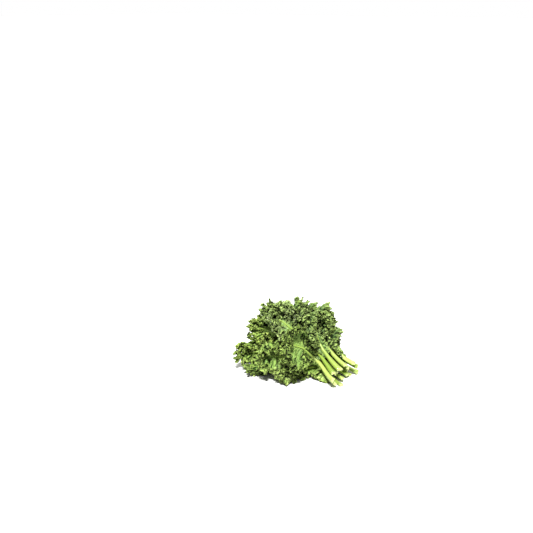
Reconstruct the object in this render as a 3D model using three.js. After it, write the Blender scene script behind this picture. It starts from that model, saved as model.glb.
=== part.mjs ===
// A bunch of green curly kale, laid on its side on a flat surface.
//
// Eighteen whole leaves, each one solid: a bare stalk, the midrib that carries it on, and a thin frilled
// blade. The stalks are gathered side by side at the neck of the bunch and fan out a little to their cut
// ends, at +X. Beyond the neck the leaves open like a bell, in nested rings: an outer one that flares most,
// a middle one in its gaps, an inner one and the heart. The surface below flattens the bunch's lower half.
//
// Units are millimetres and degrees, +Z is up, and the origin is on that surface, under the middle of the
// bunch's box.
//
// A leaf is drawn in its own three measures, which bunchPoint() turns into a place in the bunch:
//   along   how far from the neck along the leaf; negative on the stalk
//   across  sideways from the midrib
//   out     away from the bunch's axis, square to the leaf, so that + is the leaf's underside
import * as THREE from "three";

const LEAF_GREEN = 0x5f8a35;

// The neck and the stalks
const NECK_SLOTS = 12; // places round the neck's outer ring of stalks
const HEART_SLOTS = 6; // and round its inner ring
const FIRST_SLOT_TURN = 62; // where round the axis the outer ring's first place is, 90 up
const FIRST_HEART_TURN = 60;
const NECK_HEIGHT = 46;
const CUT_END_HEIGHT = 21; // the axis at the cut ends
const STALK_REACH = 95; // from the neck to the cut ends, typical
const STALK_SPREAD = 1.7; // how much wider the fan of cut ends is than the neck
const FAN_LENGTH = 1.25; // in stalk reaches, over which the fan opens
const STALK_TURN = 0.2; // sideways turn of the stalks from the bunch's axis
const STALK_TURN_SOFTNESS = 30;

// The opening of the bell
const BEND_LENGTH = 36; // over which a leaf bends out of the neck
const PARTING_FROM = -20; // along a leaf, where it starts to turn from its slot to its own turn
const PARTING = 55; // and where it has
const LEAST_WRAP_RADIUS = 20;
const AXIS_RISE = 14;
const AXIS_RISE_LENGTH = 90;
const PRESSED = 0.7; // how far the surface presses the lower half together
const PRESSED_FROM = 30; // distance below the axis where that begins
const PRESS_SOFTNESS = 30;
const SPREAD_ASIDE = 0.5; // how much of what is pressed spreads sideways
const SPREAD_SOFTNESS = 25;
const FLOOR_SOFTNESS = 3; // how far above the surface the leaves feel it
const ROLL = 3.4; // of the whole bunch, onto its far side
const PITCH = -0.8; // and onto its stalks
const ORIGIN = new THREE.Vector3(-46.7, -14.8, 5.2); // of the part, measured from under the neck

// A leaf's sections
const STALK_WIDTH = 8.2;
const CUT_END_WIDTH = 12;
const RIB_TIP_WIDTH = 2.2;
const STALK_DEPTH = 6.4;
const RIB_TIP_DEPTH = 1.4;
const RIB_TAPER = 0.8; // powers: the midrib's taper, and the stalk's flare at its cut end
const CUT_END_FLARE = 3;
const CHANNEL_CROWN = 0.08; // shares of the depth: the upper face's crown, and the underside's shoulders
const SHOULDER_DEPTH = 0.86;
const SHOULDER_PLACE = 0.3; // share of the width
const BLADE_THICKNESS = 0.8;

// A blade's flat outline
const FIRST_LENGTH = 0.3; // the first side vein, next to the longest
const TIP_SHRINK = 0.55; // how much shorter the last one is than the longest would be
const WIDEST_LENGTH = 0.86; // the longest one before it is scaled to the leaf's half width
const FIRST_VEIN_TURN = 70; // between midrib and first side vein; the last one goes on along the midrib
const RIB_CROWDING = 1.35; // powers: how fast each measure changes from the blade's start to its tip
const LENGTH_GROWTH = 3;
const VEIN_TURNING = 2.5;

// The folds of the frilled blade
const FOLDS = 11; // round each blade
const FIRST_PHASE = 30; // where round a fold the first leaf's frill starts
const PHASE_STEP = 60; // and the step from leaf to leaf, which comes round again after six
const FOLD_REACH = 0.38; // height of a fold's crest over its wavelength
const FOLD_LEAN = 0.6; // how far its steep sides lean over
const FOLD_VARIETY = { reach: 0.14, turns: 11, phases: 3 }; // between the folds of one blade
const FOLD_BEND = { reach: 0.4, turns: 13, phases: 1, outwards: 5 }; // of a crest on its way to the margin
const FOLD_WANDER = [
  { reach: 0.5, turns: 7, phases: 1 }, // of the crests round the blade
  { reach: 0.35, turns: 17, phases: 2 },
];
const WANDER_ENDS = 6; // the wander fades over a sixth of the margin at each end
const FRILL_START = 14; // distance before the blade's start from which its frills grow
const LOBE_DEPTH = 0.14; // how deep the margin is cut between two crests
const MARGIN_STEP = 1e-3; // share of the margin, for measuring how it runs

// Points on each fold, rows of them from the midrib to the margin, and sections of the stalk and midrib
const POINTS_PER_FOLD = 6;
const ROW_SHARES = [0.3, 0.65, 1];
const RIB_STEPS = 7; // along the midrib
const STALK_STATIONS = [0, 0.07, 0.29, 0.53, 0.77]; // shares of the way from the cut end to the blade

// The rings of leaves, from the heart outwards. neck: radius of the ring of stalks. wrap: how much of a
// blade's width wraps round the axis. dip and curl: slopes of a blade beside its midrib and at its margin.
// open: distance over which the frills grow to full height.
const RINGS = [
  { neck: 7.2, wrap: 0.7, dip: -30, curl: 75, slant: 0, open: 60 },
  { neck: 7.2, wrap: 0.6, dip: -30, curl: 98, slant: 0.22, open: 70 },
  { neck: 17.2, wrap: 0.6, dip: -28, curl: 110, slant: 0.25, open: 70 },
  { neck: 17.2, wrap: 0.5, dip: -24, curl: 118, slant: 0.2, open: 46 },
];

// One row for each leaf. ring: its place in RINGS. slot: where its stalk stands round the neck. turn: where
// its blade stands round the axis, 90 up. flare: how far it opens from the axis. bow: how much it curves
// back to the axis as it goes. reach: neck to the midrib's tip. from: neck to the first of the blade.
// half: widest half of the blade. stalk: neck to cut end. A curl of its own takes the place of the ring's,
// flatter where the leaf lies on the surface below.
const LEAVES = [
  { name: "leaf_outer_top_far", ring: 3, slot: 1, turn: 58, flare: 69, bow: 0.0012, reach: 66, from: 15,
    half: 64, stalk: 96 },
  { name: "leaf_outer_top_near", ring: 3, slot: 3, turn: 106, flare: 88, bow: 0.0012, reach: 66, from: 10,
    half: 64, stalk: 88, curl: 122 },
  { name: "leaf_outer_near", ring: 3, slot: 5, turn: 156, flare: 86, bow: 0.0010, reach: 86, from: 10,
    half: 65, stalk: 92, curl: 70 },
  { name: "leaf_outer_near_low", ring: 3, slot: 7, turn: 207, flare: 88, bow: 0.0006, reach: 80, from: 17,
    half: 66, stalk: 98, curl: 20 },
  { name: "leaf_outer_far_low", ring: 3, slot: 9, turn: 328, flare: 68, bow: 0.0012, reach: 70, from: 14,
    half: 64, stalk: 86, curl: 20 },
  { name: "leaf_outer_far", ring: 3, slot: 11, turn: 18, flare: 80, bow: 0.0012, reach: 44, from: 10,
    half: 44, stalk: 88 },
  { name: "leaf_middle_top", ring: 2, slot: 2, turn: 80, flare: 42, bow: 0.0008, reach: 90, from: 21,
    half: 58, stalk: 90, curl: 115 },
  { name: "leaf_middle_top_near", ring: 2, slot: 4, turn: 134, flare: 51, bow: 0.0008, reach: 108, from: 18,
    half: 70, stalk: 84 },
  { name: "leaf_middle_near", ring: 2, slot: 6, turn: 185, flare: 58, bow: 0.0006, reach: 120, from: 31,
    half: 64, stalk: 94, curl: 115 },
  { name: "leaf_middle_near_low", ring: 2, slot: 8, turn: 224, flare: 58, bow: 0.0003, reach: 138, from: 23,
    half: 75, stalk: 82, curl: 20 },
  { name: "leaf_middle_far", ring: 2, slot: 10, turn: 334, flare: 52, bow: 0.0008, reach: 96, from: 18,
    half: 66, stalk: 96, curl: 35 },
  { name: "leaf_middle_top_far", ring: 2, slot: 12, turn: 24, flare: 40, bow: 0.0008, reach: 108, from: 29,
    half: 62, stalk: 88 },
  { name: "leaf_inner_top_far", ring: 1, slot: 0, turn: 38, flare: 24, bow: 0.0004, reach: 136, from: 45,
    half: 60, stalk: 90, curl: 83 },
  { name: "leaf_inner_top_near", ring: 1, slot: 1, turn: 120, flare: 31, bow: 0.0004, reach: 136, from: 34,
    half: 63, stalk: 84 },
  { name: "leaf_inner_near", ring: 1, slot: 2, turn: 198, flare: 37, bow: 0.0002, reach: 164, from: 36,
    half: 72, stalk: 80, curl: 78 },
  { name: "leaf_inner_low", ring: 1, slot: 3, turn: 248, flare: 33, bow: 0.0004, reach: 140, from: 36,
    half: 64, stalk: 92, curl: 40 },
  { name: "leaf_inner_far", ring: 1, slot: 4, turn: 329, flare: 32, bow: 0.0004, reach: 142, from: 38,
    half: 56, stalk: 89, curl: 30 },
  { name: "leaf_heart", ring: 0, slot: 5, turn: 157, flare: 7, bow: 0.0001, reach: 168, from: 44,
    half: 58, stalk: 84 },
];

const X_AXIS = new THREE.Vector3(1, 0, 0);
const Y_AXIS = new THREE.Vector3(0, 1, 0);
const radians = THREE.MathUtils.degToRad;
const clamp = THREE.MathUtils.clamp;
const smooth = (x) => THREE.MathUtils.smoothstep(x, 0, 1);

// A bend: 0 well before x = 0, and x well after it.
const ramp = (x, length) => (x + Math.hypot(x, length)) / 2;

// The surface below the bunch presses its lower half together and spreads it sideways. Takes and gives
// sideways and upward distances from the axis.
function press(y, z) {
  const pressed = PRESSED * ramp(-z - PRESSED_FROM, PRESS_SOFTNESS);
  return [y + (SPREAD_ASIDE * pressed * y) / (Math.abs(y) + SPREAD_SOFTNESS), z + pressed];
}

// Where a leaf's own measures lie in the bunch.
function bunchPoint(leaf, along, across, lift) {
  const out = lift + leaf.slant * across;
  const flare = radians(leaf.flare);
  const bent = ramp(along, BEND_LENGTH);
  const turned = (along / Math.hypot(along, BEND_LENGTH) + 1) / 2;
  const slope = (flare - 2 * leaf.bow * bent) * turned;
  const bowed = leaf.bow * bent * bent;
  const beyond =
    along - (1 - Math.cos(flare)) * bent + bowed * Math.sin(flare) - Math.sin(slope) * out;
  const radius = leaf.neck + Math.sin(flare) * bent - bowed * Math.cos(flare) + Math.cos(slope) * out;

  // Across: part of it wraps round the axis, and the rest goes straight sideways.
  const wrap = (leaf.wrap * across) / Math.max(radius, LEAST_WRAP_RADIUS);
  const parted = leaf.slotTurn + leaf.turnAway * smooth((along - PARTING_FROM) / (PARTING - PARTING_FROM));
  const angle = radians(parted) + wrap;
  const side = (1 - leaf.wrap) * across;
  const [y, z] = press(
    radius * Math.cos(angle) - side * Math.sin(angle),
    radius * Math.sin(angle) + side * Math.cos(angle),
  );

  const back = Math.max(-beyond, 0) / STALK_REACH;
  const fan = smooth(back / FAN_LENGTH) * STALK_SPREAD;
  const rise = AXIS_RISE * smooth(beyond / AXIS_RISE_LENGTH);
  const height = NECK_HEIGHT + rise - (NECK_HEIGHT - CUT_END_HEIGHT) * smooth(back);
  return new THREE.Vector3(
    -beyond,
    y * (1 + fan) - STALK_TURN * ramp(-beyond, STALK_TURN_SOFTNESS),
    BLADE_THICKNESS / 2 + ramp(height + z - BLADE_THICKNESS / 2, FLOOR_SOFTNESS),
  );
}

// The bunch settles: it rolls and pitches a little until it lies on its low leaves and stalks, whose lowest
// places go flat.
function settled(point) {
  point.applyAxisAngle(X_AXIS, -radians(ROLL)).applyAxisAngle(Y_AXIS, -radians(PITCH));
  point.sub(ORIGIN);
  point.z = Math.max(point.z, 0);
  return point;
}

// The blade's flat outline: v is 0 where the blade starts and 1 at its tip. Gives the midrib point, and the
// length and direction of the side vein from there to the margin.
function outline(leaf, v) {
  const rib = leaf.from + (leaf.reach - leaf.from) * (1 - (1 - v) ** RIB_CROWDING);
  const vein = radians(FIRST_VEIN_TURN) * (1 - v ** VEIN_TURNING);
  const grown = FIRST_LENGTH + (1 - FIRST_LENGTH) * (1 - (1 - v) ** LENGTH_GROWTH);
  const length = (leaf.half * grown * (1 - TIP_SHRINK * v ** LENGTH_GROWTH)) / WIDEST_LENGTH;
  return { rib, length, forward: Math.cos(vein), sideways: Math.sin(vein) };
}

// The side vein that ends at u on the margin. u runs from the left start of the blade round its tip to the
// right start.
function sideVein(leaf, u) {
  const vein = outline(leaf, 1 - Math.abs(1 - 2 * u));
  vein.sideways *= Math.sign(u - 0.5);
  return vein;
}

// A fold of the sheet: a meander, whose steep parts lean over as it gets taller. Gives the shift along the
// sheet and the rise out of it.
function meander(phase, wavelength, reach) {
  return {
    shift: -FOLD_LEAN * reach * reach * wavelength * Math.sin(2 * phase),
    rise: reach * wavelength * Math.sin(phase),
  };
}

// One of the slow waves that keep the folds uneven, w of the way along them.
const drift = (wave, leaf, w) => wave.reach * Math.sin(wave.turns * w + wave.phases * leaf.phase);

// How wide the stalk and midrib are.
function ribWidth(leaf, along) {
  const toTip = clamp(along / leaf.reach, 0, 1);
  const toCut = clamp(-along / leaf.stalk, 0, 1);
  const taper = (RIB_TIP_WIDTH - STALK_WIDTH) * toTip ** RIB_TAPER;
  return STALK_WIDTH + taper + (CUT_END_WIDTH - STALK_WIDTH) * toCut ** CUT_END_FLARE;
}

// A half of the blade before it is folded: it dips inwards beside the midrib and curls out at the margin,
// along an arc. Gives the place along and across, the height out, and the slope, at a share of the side vein.
function rolled(leaf, u, share) {
  const { rib, length, forward, sideways } = sideVein(leaf, u);
  const start = radians(leaf.dip);
  const turn = radians(leaf.curl) - start;
  const slope = start + turn * share;
  const inwards = (length * (Math.sin(slope) - Math.sin(start))) / turn;
  const edge = (sideways * ribWidth(leaf, rib)) / 2;
  return {
    along: rib + forward * inwards,
    across: edge + sideways * inwards,
    out: (length * (Math.cos(start) - Math.cos(slope))) / turn,
    slope,
    forward,
    sideways,
  };
}

// A point in the middle of the blade's thickness: w of the way along the folds, share of the way out to the
// margin.
function bladePoint(leaf, w, share) {
  const phase = 2 * Math.PI * FOLDS * w + leaf.phase;
  const ends = Math.min(1, WANDER_ENDS * w, WANDER_ENDS * (1 - w));
  const bend =
    FOLD_BEND.reach *
    share *
    Math.sin(FOLD_BEND.outwards * share + FOLD_BEND.turns * w + FOLD_BEND.phases * leaf.phase);
  const wander = FOLD_WANDER.reduce((sum, wave) => sum + drift(wave, leaf, w), bend);
  const u = w + (ends * wander) / (2 * Math.PI * FOLDS);

  // Folds grow from the midrib to the margin, and from the neck outwards.
  const vein = outline(leaf, 1 - Math.abs(1 - 2 * u));
  const middleOfVein = vein.rib + (vein.length * vein.forward) / 2;
  const room = smooth((middleOfVein - leaf.from + FRILL_START) / leaf.open);
  const lobe = share * (1 - LOBE_DEPTH * room * Math.cos(phase) ** 2 * share);
  const at = rolled(leaf, u, lobe);
  const before = rolled(leaf, Math.max(u - MARGIN_STEP, 0), share);
  const after = rolled(leaf, Math.min(u + MARGIN_STEP, 1), share);
  const dx = after.along - before.along;
  const dy = after.across - before.across;
  const run = Math.hypot(dx, dy) || 1;
  const wavelength = run / (2 * MARGIN_STEP) / FOLDS;
  const height = FOLD_REACH * (1 - FOLD_VARIETY.reach + drift(FOLD_VARIETY, leaf, w));
  const fold = meander(phase, wavelength, height * room * share);
  return bunchPoint(
    leaf,
    at.along - at.forward * fold.rise * Math.sin(at.slope) + (fold.shift * dx) / run,
    at.across - at.sideways * fold.rise * Math.sin(at.slope) + (fold.shift * dy) / run,
    at.out + fold.rise * Math.cos(at.slope),
  );
}

// The stalk and midrib's section: eight points round it, from the left, over the leaf's upper face.
function ribSection(leaf, along) {
  const centre = bunchPoint(leaf, along, 0, 0);
  const forward = bunchPoint(leaf, along + 1, 0, 0).sub(bunchPoint(leaf, along - 1, 0, 0)).normalize();
  const right = bunchPoint(leaf, along, 1, 0).sub(bunchPoint(leaf, along, -1, 0));
  right.addScaledVector(forward, -right.dot(forward)).normalize();
  const under = new THREE.Vector3().crossVectors(forward, right);
  if (under.dot(bunchPoint(leaf, along, 0, 1).sub(centre)) < 0) under.negate();

  const width = ribWidth(leaf, along);
  const toTip = clamp(along / leaf.reach, 0, 1);
  const depth = STALK_DEPTH + (RIB_TIP_DEPTH - STALK_DEPTH) * toTip ** RIB_TAPER;
  const edge = BLADE_THICKNESS / 2;
  const round = [
    [-1 / 2, -edge], // left edge, upper face
    [0, -edge - CHANNEL_CROWN * depth],
    [1 / 2, -edge],
    [1 / 2, edge], // right edge, underside
    [SHOULDER_PLACE, SHOULDER_DEPTH * depth],
    [0, depth],
    [-SHOULDER_PLACE, SHOULDER_DEPTH * depth],
    [-1 / 2, edge],
  ];
  return round.map(([x, y]) =>
    centre.clone().addScaledVector(right, x * width).addScaledVector(under, y),
  );
}

// Triangles between two rows of points that start and end together, numbered through both rows. Rows of the
// same length are joined by quads, each split along its shorter diagonal.
function strip(rowA, rowB) {
  const triangles = [];
  const first = rowA.length;
  if (rowA.length === rowB.length) {
    for (let i = 0; i < rowA.length - 1; i++) {
      const [a, b, c, d] = [i, i + 1, first + i + 1, first + i];
      const leans = rowA[i].distanceTo(rowB[i + 1]) < rowA[i + 1].distanceTo(rowB[i]);
      triangles.push(...(leans ? [[a, b, c], [a, c, d]] : [[a, b, d], [b, c, d]]));
    }
    return triangles;
  }
  let a = 0;
  let b = 0;
  while (a < rowA.length - 1 || b < rowB.length - 1) {
    const nextA = (a + 1) / (rowA.length - 1);
    const nextB = (b + 1) / (rowB.length - 1);
    if (b === rowB.length - 1 || (a < rowA.length - 1 && nextA <= nextB + 1e-9)) {
      triangles.push([a, a + 1, first + b]);
      a += 1;
    } else {
      triangles.push([a, first + b + 1, first + b]);
      b += 1;
    }
  }
  return triangles;
}

// One leaf as a single closed surface.
function leafGeometry(leaf) {
  const points = [];
  const triangles = [];
  const add = (point) => points.push(point) - 1;
  const face = (a, b, c) => {
    if (a !== b && b !== c && c !== a) triangles.push([a, b, c]);
  };

  // Sections of the stalk, from the cut end, then of the midrib, which ends in one edge.
  const stations = STALK_STATIONS.map((share) => -leaf.stalk + (leaf.stalk + leaf.from) * share);
  for (let i = 0; i < RIB_STEPS; i++) stations.push(outline(leaf, i / RIB_STEPS).rib);
  const sections = stations.map((along) => ribSection(leaf, along).map(add));
  const last = ribSection(leaf, leaf.reach);
  const tipUpper = add(last[0].clone().add(last[2]).multiplyScalar(0.5));
  const tipUnder = add(last[7].clone().add(last[3]).multiplyScalar(0.5));
  sections.push([tipUpper, tipUpper, tipUpper, tipUnder, tipUnder, tipUnder, tipUnder, tipUnder]);

  const LEFT_EDGE = 7; // the section's side from its last point to its first
  const RIGHT_EDGE = 2;
  for (let i = 0; i < sections.length - 1; i++) {
    for (let j = 0; j < 8; j++) {
      const bladed = i >= STALK_STATIONS.length && (j === LEFT_EDGE || j === RIGHT_EDGE);
      if (bladed) continue;
      const k = (j + 1) % 8;
      face(sections[i][j], sections[i][k], sections[i + 1][k]);
      face(sections[i][j], sections[i + 1][k], sections[i + 1][j]);
    }
  }
  for (let j = 1; j < 7; j++) face(sections[0][0], sections[0][j + 1], sections[0][j]);

  // The blade's two faces share their rows with the midrib's edges.
  const ribs = sections.slice(STALK_STATIONS.length);
  const rootUpper = [...ribs.map((s) => s[0]), ...ribs.slice(0, -1).reverse().map((s) => s[2])];
  const rootUnder = [...ribs.map((s) => s[7]), ...ribs.slice(0, -1).reverse().map((s) => s[3])];
  const middle = rootUpper.map((id, i) => points[id].clone().add(points[rootUnder[i]]).multiplyScalar(0.5));
  const sheet = [middle];
  const steps = POINTS_PER_FOLD * FOLDS;
  for (const share of ROW_SHARES) {
    sheet.push(Array.from({ length: steps + 1 }, (_, i) => bladePoint(leaf, i / steps, share)));
  }
  const normals = sheetNormals(sheet);
  const faces = [-1, 1].map((side) => {
    const rows = [side < 0 ? rootUpper : rootUnder];
    for (let r = 1; r < sheet.length; r++) {
      rows.push(
        sheet[r].map((point, i) =>
          add(point.clone().addScaledVector(normals[r][i], (side * BLADE_THICKNESS) / 2)),
        ),
      );
    }
    return rows;
  });
  const [upper, under] = faces;
  for (let r = 0; r < sheet.length - 1; r++) {
    const upperRows = [...upper[r], ...upper[r + 1]];
    const underRows = [...under[r], ...under[r + 1]];
    for (const [a, b, c] of strip(sheet[r], sheet[r + 1])) {
      face(upperRows[a], upperRows[b], upperRows[c]);
      face(underRows[a], underRows[c], underRows[b]);
    }
  }
  const rim = sheet.length - 1;
  for (let i = 0; i < upper[rim].length - 1; i++) {
    face(upper[rim][i], upper[rim][i + 1], under[rim][i + 1]);
    face(upper[rim][i], under[rim][i + 1], under[rim][i]);
  }
  // Its two short ends, where it leaves the stalk.
  for (let r = 0; r < rim; r++) {
    face(upper[r][0], upper[r + 1][0], under[r + 1][0]);
    face(upper[r][0], under[r + 1][0], under[r][0]);
    face(upper[r].at(-1), under[r + 1].at(-1), upper[r + 1].at(-1));
    face(upper[r].at(-1), under[r].at(-1), under[r + 1].at(-1));
  }

  const geometry = new THREE.BufferGeometry().setFromPoints(points.map(settled));
  geometry.setIndex(triangles.flat());
  return geometry.toNonIndexed();
}

// The mean direction square to the sheet at each of its points, towards the leaf's underside.
function sheetNormals(sheet) {
  const normals = sheet.map((row) => row.map(() => new THREE.Vector3()));
  for (let r = 0; r < sheet.length - 1; r++) {
    const points = [...sheet[r], ...sheet[r + 1]];
    const sums = [...normals[r], ...normals[r + 1]];
    for (const corners of strip(sheet[r], sheet[r + 1])) {
      const [a, b, c] = corners.map((corner) => points[corner]);
      const square = b.clone().sub(a).cross(c.clone().sub(a));
      for (const corner of corners) sums[corner].sub(square);
    }
  }
  return normals.map((row) => row.map((n) => n.normalize()));
}

const bunch = new THREE.Group();
LEAVES.forEach((row, i) => {
  const outside = row.ring > 1;
  const slotTurn = outside
    ? FIRST_SLOT_TURN + (360 * (row.slot - 1)) / NECK_SLOTS
    : FIRST_HEART_TURN + (360 * row.slot) / HEART_SLOTS;
  const leaf = {
    ...RINGS[row.ring],
    ...row,
    slotTurn,
    phase: radians((FIRST_PHASE + PHASE_STEP * i) % 360),
    turnAway: ((row.turn - slotTurn + 900) % 360) - 180, // the shorter way round
  };
  const material = new THREE.MeshStandardMaterial({ color: LEAF_GREEN, roughness: 0.6, metalness: 0 });
  const mesh = new THREE.Mesh(leafGeometry(leaf), material);
  mesh.geometry.computeVertexNormals();
  mesh.name = leaf.name;
  bunch.add(mesh);
});

export default bunch;
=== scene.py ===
"""A bunch of green curly kale lying on its side: eighteen whole leaves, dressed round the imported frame."""

import math

import bpy
import numpy as np
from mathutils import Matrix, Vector


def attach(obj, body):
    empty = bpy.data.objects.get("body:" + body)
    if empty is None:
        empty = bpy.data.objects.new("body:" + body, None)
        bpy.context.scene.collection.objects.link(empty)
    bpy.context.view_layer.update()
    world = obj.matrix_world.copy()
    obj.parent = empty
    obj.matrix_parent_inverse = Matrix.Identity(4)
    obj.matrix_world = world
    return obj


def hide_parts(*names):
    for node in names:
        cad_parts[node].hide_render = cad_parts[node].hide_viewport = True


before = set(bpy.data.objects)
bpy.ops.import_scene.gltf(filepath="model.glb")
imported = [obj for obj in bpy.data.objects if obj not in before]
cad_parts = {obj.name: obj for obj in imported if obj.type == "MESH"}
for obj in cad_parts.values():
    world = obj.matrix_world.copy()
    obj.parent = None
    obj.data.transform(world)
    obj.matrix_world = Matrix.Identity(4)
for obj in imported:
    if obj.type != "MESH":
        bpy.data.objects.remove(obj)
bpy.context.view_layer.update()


# ---- The view ----
# The bunch is seen from its near side and a little above, with its stalks towards the right. It lies on a
# plain pale floor. The light is soft: a strong one from above the near side, a weak one from behind, and a
# white surround.
MM = 0.001
IMAGE_SIDE = 533  # pixels
NECK_PLACE = Vector((47.3, 17.5, 40.7)) * MM  # where the stalks meet
NECK_PIXEL = (318.6, 352.8)  # where that is seen, from the image's left and top
PIXEL_SIZE = 2.45 * MM  # at the neck
VIEW_AZIMUTH = 38
VIEW_ELEVATION = 18
VIEW_DISTANCE = 2.0
SENSOR_WIDTH = 36


def direction_to(azimuth, elevation):
    """Towards a place round the bunch, in degrees: azimuth 0 is its -Y side, and 90 its stalk end."""
    turn = math.radians(azimuth)
    lift = math.radians(elevation)
    return Vector((math.sin(turn) * math.cos(lift), -math.cos(turn) * math.cos(lift), math.sin(lift)))


def aim_from(name, data, place, back):
    """An object at a place, which looks the other way from the direction back."""
    thing = bpy.data.objects.new(name, data)
    thing.location = place
    thing.rotation_mode = "QUATERNION"
    thing.rotation_quaternion = (-back).to_track_quat("-Z", "Y")
    bpy.context.collection.objects.link(thing)
    return thing


def make_camera():
    back = direction_to(VIEW_AZIMUTH, VIEW_ELEVATION)
    right = direction_to(VIEW_AZIMUTH + 90, 0)
    up = back.cross(right)
    aim = NECK_PLACE - right * (NECK_PIXEL[0] - IMAGE_SIDE / 2) * PIXEL_SIZE
    aim += up * (NECK_PIXEL[1] - IMAGE_SIDE / 2) * PIXEL_SIZE
    lens = bpy.data.cameras.new("view")
    lens.sensor_width = SENSOR_WIDTH
    lens.lens = SENSOR_WIDTH * VIEW_DISTANCE / (IMAGE_SIDE * PIXEL_SIZE)
    bpy.context.scene.camera = aim_from("view", lens, aim + back * VIEW_DISTANCE, back)


def make_sun(name, azimuth, elevation, strength, softness):
    light = bpy.data.lights.new(name, "SUN")
    light.energy = strength
    light.angle = math.radians(softness)
    back = direction_to(azimuth, elevation)
    aim_from(name, light, NECK_PLACE + back * VIEW_DISTANCE, back)


def make_floor(half_width, color, roughness):
    mesh = bpy.data.meshes.new("floor")
    corners = [(-half_width, -half_width, 0), (half_width, -half_width, 0)]
    corners += [(half_width, half_width, 0), (-half_width, half_width, 0)]
    mesh.from_pydata(corners, [], [(0, 1, 2, 3)])
    floor = bpy.data.objects.new("floor", mesh)
    bpy.context.collection.objects.link(floor)
    material = bpy.data.materials.new("floor_paint")
    material.use_nodes = True
    shader = material.node_tree.nodes["Principled BSDF"]
    shader.inputs["Base Color"].default_value = (*color, 1)
    shader.inputs["Roughness"].default_value = roughness
    mesh.materials.append(material)


def light_all_round(strength, backdrop):
    """A white surround that lights the bunch with one strength and is seen with another."""
    world = bpy.data.worlds.new("studio")
    bpy.context.scene.world = world
    world.use_nodes = True
    nodes = world.node_tree.nodes
    background = nodes["Background"]
    background.inputs["Color"].default_value = (1, 1, 1, 1)
    seen = nodes.new("ShaderNodeLightPath").outputs["Is Camera Ray"]
    brightness = nodes.new("ShaderNodeMapRange")
    brightness.inputs["To Min"].default_value = strength
    brightness.inputs["To Max"].default_value = backdrop
    world.node_tree.links.new(seen, brightness.inputs["Value"])
    world.node_tree.links.new(brightness.outputs["Result"], background.inputs["Strength"])


make_camera()
make_floor(half_width=40, color=(0.7, 0.7, 0.69), roughness=0.9)
light_all_round(strength=0.36, backdrop=1)
make_sun("key", azimuth=30, elevation=58, strength=8.2, softness=12)
make_sun("rim", azimuth=-130, elevation=45, strength=1.2, softness=30)
bpy.context.scene.view_settings.view_transform = "Standard"


# ---- Where the leaves lie ----
# The leaves are gathered by their stalks, which lie side by side at the neck and fan out to their cut ends
# at +X. Beyond the neck the leaves open like a bell, in nested rings round a heart, and the surface below
# flattens the lower half. Lengths are in millimetres and turns in degrees, with 90 up round the axis.
NECK_SLOTS = 12  # places round the neck's outer ring of stalks
HEART_SLOTS = 6  # and round its inner ring
FIRST_SLOT_TURN = 62  # where round the axis the outer ring's first place is
FIRST_HEART_TURN = 60
NECK_HEIGHT = 46
CUT_END_HEIGHT = 21  # the axis at the cut ends
STALK_REACH = 95  # from the neck to the cut ends, typical
STALK_SPREAD = 1.7  # how much wider the fan of cut ends is than the neck
FAN_LENGTH = 1.25  # in stalk reaches, over which the fan opens
STALK_TURN = 0.2  # sideways turn of the stalks from the bunch's axis, as a slope
STALK_TURN_SOFTNESS = 30
BEND_LENGTH = 36  # over which a leaf bends out of the neck
PARTING_FROM = -20  # along a leaf, where it starts to turn from its slot to its own turn
PARTING = 55  # and where it has
LEAST_WRAP_RADIUS = 20
AXIS_RISE = 14
AXIS_RISE_LENGTH = 90
PRESSED = 0.7  # how far the surface presses the lower half together
PRESSED_FROM = 30  # distance below the axis where that begins
PRESS_SOFTNESS = 30
SPREAD_ASIDE = 0.5  # how much of what is pressed spreads sideways
SPREAD_SOFTNESS = 25
FLOOR_SOFTNESS = 3  # how far above the surface the leaves feel it
ROLL = math.radians(3.4)  # of the whole bunch, onto its far side
PITCH = math.radians(-0.8)  # and onto its stalks
FRAME_ORIGIN = np.array((-46.7, -14.8, 5.2))  # measured from under the neck
BLADE_THICKNESS = 0.8  # in the frame
FIRST_PHASE = 30  # where round a fold the first leaf's frill starts
PHASE_STEP = 60  # and the step from leaf to leaf
TINTS = 9  # leaves differ a little in how fresh a green they are
TINT_STRIDE = 5  # so that neighbours don't follow each other through the tints
TINT_STEP = 0.05

# The rings of leaves, from the heart outwards. neck: radius of the ring of stalks. wrap: how much of a
# blade's width wraps round the axis. dip and curl: slopes of a blade beside its midrib and at its margin.
# slant: how a blade tilts across. open: distance over which the frills grow to full height.
INNER_RINGS = 2  # the first of them, the heart's and the inner
RINGS = [
    dict(neck=7.2, wrap=0.7, dip=-30, curl=75, slant=0, open=60),
    dict(neck=7.2, wrap=0.6, dip=-30, curl=98, slant=0.22, open=70),
    dict(neck=17.2, wrap=0.6, dip=-28, curl=110, slant=0.25, open=70),
    dict(neck=17.2, wrap=0.5, dip=-24, curl=118, slant=0.2, open=46),
]

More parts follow.
